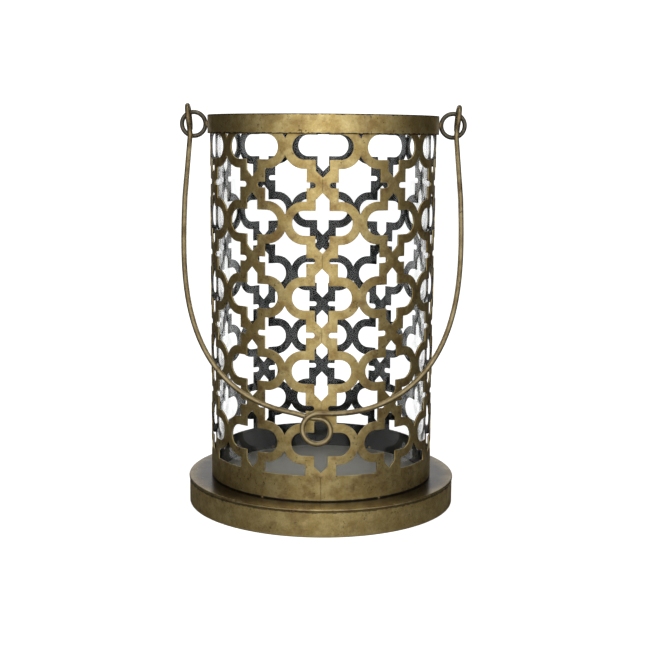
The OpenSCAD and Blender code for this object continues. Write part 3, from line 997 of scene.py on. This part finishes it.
# Near black by the sleeve, fading to the darker gold towards the rim: painted shade and the painted
# reflection of the sleeve's dark foot.
uneven = math_node(tree, "MULTIPLY_ADD", noise_at(tree, where, 160.0, 4.0), SHADE_UNEVEN, radius)
out_of_shade = ramp(tree, uneven, SHADE_FADES_FROM, SHADE_FADES_TO)
colour = blend_colours(tree, out_of_shade, paint.outputs["Color"], shaded_gold_paint.outputs["Color"])
beside_sleeve = ramp(tree, radius, sleeve_r - GREY_EDGE, sleeve_r)
below_top = math_node(tree, "LESS_THAN", height, base_h - GREY_DEPTH)
outside = math_node(tree, "MAXIMUM", beside_sleeve, below_top)
colour = blend_colours(tree, outside, DULL_GREY, colour)
rougher = math_node(tree, "MULTIPLY_ADD", outside, -0.8, 1.4)
rough = math_node(tree, "MULTIPLY", paint.outputs["Roughness"], rougher)
put_on(tree, shader, relief, colour, rough, paint.outputs["Height"])
wear(top_plate, bottom_plate, material=plate_finish)

# %% [markdown]
# ### Wire and welds
#
# The bail has the gold paint, rubbed thinner by hands, so it is duller and shows more stains. The rings and
# their welds were left nearly bare: dark bronze, and brown where the weld was hot. The seam was painted over
# with the sleeve, so it is gold, a little darker than what is round it. They differ only in their values,
# which makes a table and a loop the shortest way.

# %% Wire and weld materials
WIRE_BUMP = 0.3
WIRES = (  # name, metallic, paint, stain amount, speck amount, pieces
    ("gold_wire", 0.85, RUBBED_GOLD, 0.7, 0.7, [bail]),
    ("bronze_wire", 0.7, RING_BRONZE, 0.5, 0.4, [pieces["ring_at_left"], pieces["ring_at_right"]]),
    ("weld_brown", 0.6, WELD_BROWN, 0.6, 0.5, [tacks, ring_beads]),
    ("seam_gold", 0.9, SEAM_GOLD, 0.5, 0.3, [seam]),
)
for name, metallic, colours, stain_amount, speck_amount, worn_by in WIRES:
    finish, tree, shader, where, relief = new_material(name, metallic, WIRE_BUMP)
    paint = place_group(tree, dabbed, Vector=where, Stain_Amount=stain_amount, Speck_Amount=speck_amount,
                        **colours)
    put_on(tree, shader, relief, *(paint.outputs[label] for label in ("Color", "Roughness", "Height")))
    wear(*worn_by, material=finish)

# %% [markdown]
# ### Glass
#
# Clear glass shows itself by its reflections and by the dark lines at its edges, where light has to pass
# along the wall. A grey Specular Tint weakens its reflections, which would otherwise veil the dark steel
# behind it. A little dust makes it slightly less smooth in places. It throws no shadow, because a renderer
# treats plain glass as if it stopped a lamp's light, and the inside of the lantern would be far too dark.

# %% Glass material
DUSTY_ROUGHNESS = 0.008

glass_finish, tree, shader, where, relief = new_material("clear_glass", 0.0, 0.02)
shader.inputs["Base Color"].default_value = (0.985, 0.993, 0.99, 1)
shader.inputs["Transmission Weight"].default_value = 1.0
shader.inputs["IOR"].default_value = 1.47
shader.inputs["Specular Tint"].default_value = (0.3, 0.3, 0.3, 1)
dust = noise_at(tree, where, 40.0, 5.0)
rough = math_node(tree, "MULTIPLY", ramp(tree, dust, 0.45, 0.75), DUSTY_ROUGHNESS)
tree.links.new(rough, shader.inputs["Roughness"])
tree.links.new(dust, relief.inputs["Height"])
wear(glass, material=glass_finish)
glass.visible_shadow = False

# %% [markdown]
# ## Floor and light
#
# The lantern stands in a plain studio. Metal looks like what it mirrors, so the room matters more than the
# lamps. The floor mirrors as bright only ahead of the lantern and is dim aside, which keeps the gold's sides
# dark. But a camera should see it white all over, so a Light Path node tells the camera's own rays from the
# rays that light a surface, and the floor answers each in its own way.

# %% Floor
DIM, LIT, SEEN = (0.14, 0.14, 0.14, 1), (0.85, 0.85, 0.85, 1), (0.9, 0.9, 0.9, 1)
GLOW_SEEN, GLOW_AHEAD = 0.8, 0.35
SPREAD = -0.9                # the lit part widens by about as much as it goes ahead
AHEAD_FROM, AHEAD_TO = 0.02, 0.35  # in metres, ahead of the lantern's axis
FLOOR_HALF = 6               # half the floor's width, in metres


def looking(tree):
    """1 where the camera looks, straight or through glass, and 0 where light is on its way to a surface."""
    paths = tree.nodes.new("ShaderNodeLightPath")
    return math_node(tree, "MAXIMUM", paths.outputs["Is Camera Ray"], paths.outputs["Is Transmission Ray"])


bm = bmesh.new()
bmesh.ops.create_grid(bm, x_segments=8, y_segments=8, size=FLOOR_HALF)
mesh = bpy.data.meshes.new("floor")
bm.to_mesh(mesh)
bm.free()
floor = bpy.data.objects.new("floor", mesh)
bpy.context.scene.collection.objects.link(floor)
material = bpy.data.materials.new("floor_white")
material.use_nodes = True
tree = material.node_tree
shader = tree.nodes["Principled BSDF"]
shader.inputs["Roughness"].default_value = 0.9
shader.inputs["Specular IOR Level"].default_value = 0.0
shader.inputs["Emission Color"].default_value = (1, 1, 1, 1)
seen = looking(tree)
place = add(tree, "ShaderNodeSeparateXYZ", Vector=tree.nodes.new("ShaderNodeTexCoord").outputs["Object"])
aside = math_node(tree, "ABSOLUTE", place.outputs["X"])
ahead = math_node(tree, "MULTIPLY_ADD", aside, SPREAD, math_node(tree, "MULTIPLY", place.outputs["Y"], -1.0))
ahead = ramp(tree, ahead, AHEAD_FROM, AHEAD_TO)
lit = blend_colours(tree, ahead, DIM, LIT)
tree.links.new(blend_colours(tree, seen, lit, SEEN), shader.inputs["Base Color"])
glow = math_node(tree, "MAXIMUM", math_node(tree, "MULTIPLY", seen, GLOW_SEEN),
                 math_node(tree, "MULTIPLY", ahead, GLOW_AHEAD))
tree.links.new(glow, shader.inputs["Emission Strength"])
wear(floor, material=material)

# %% [markdown]
# Three weak lamps, each a large disc, model the shape: one in front, one above and one behind. Each turns its
# face to the lantern. None is seen by the camera, but all are mirrored in the gold.

# %% Lamps
LAMP_AIM = Vector((0, 0, 0.13))
LAMPS = (  # name, place, width in metres, power in watts
    ("front_box", (-0.05, -1.7, 0.75), 1.5, 3.5),
    ("top_box", (0.0, -0.1, 1.8), 0.8, 5),
    ("rear_box", (-0.4, 1.6, 1.5), 1.0, 2),
)
for name, place, size, power in LAMPS:
    data = bpy.data.lights.new(name, "AREA")
    data.shape, data.size, data.energy = "DISK", size, power
    lamp = bpy.data.objects.new(name, data)
    bpy.context.scene.collection.objects.link(lamp)
    lamp.location = place
    lamp.rotation_euler = (Vector(place) - LAMP_AIM).to_track_quat("Z", "Y").to_euler()
    lamp.visible_camera = False
print("lamps:", [name for name, *_ in LAMPS])

# %% [markdown]
# Most of the light is the world's own. It is a soft glow ahead of the lantern, which fades towards the sides
# as the highlight on the rolled metal does, and a white backdrop straight behind, which catches in the glass
# and on edges seen at a slant. The rest of the room is nearly black. The camera itself sees only white.

# %% World
LEAN_ASIDE = 0.04            # the glow comes from slightly to the right
GLOW_FROM, GLOW_TO, GLOW = -0.06, 1.0, 1.35
BACKDROP_FROM, BACKDROP_TO, BACKDROP = 0.83, 0.95, 0.85
ROOM, SEEN_WHITE = 0.012, 1.3

world = bpy.data.worlds.new("studio")
bpy.context.scene.world = world
world.use_nodes = True
tree = world.node_tree
background = tree.nodes["Background"]
way = add(tree, "ShaderNodeSeparateXYZ", Vector=tree.nodes.new("ShaderNodeTexCoord").outputs["Generated"])
forward = math_node(tree, "MULTIPLY", way.outputs["Y"], -1.0)
forward = math_node(tree, "MULTIPLY_ADD", way.outputs["X"], LEAN_ASIDE, forward)
front = math_node(tree, "MULTIPLY", ramp(tree, forward, GLOW_FROM, GLOW_TO), GLOW)
backdrop = math_node(tree, "MULTIPLY", ramp(tree, way.outputs["Y"], BACKDROP_FROM, BACKDROP_TO), BACKDROP)
room = math_node(tree, "ADD", math_node(tree, "ADD", front, backdrop), ROOM)
white = math_node(tree, "MULTIPLY", looking(tree), SEEN_WHITE)
tree.links.new(math_node(tree, "MAXIMUM", room, white), background.inputs["Strength"])
background.inputs["Color"].default_value = (1, 1, 1, 1)
bpy.context.scene.view_settings.view_transform = "Standard"
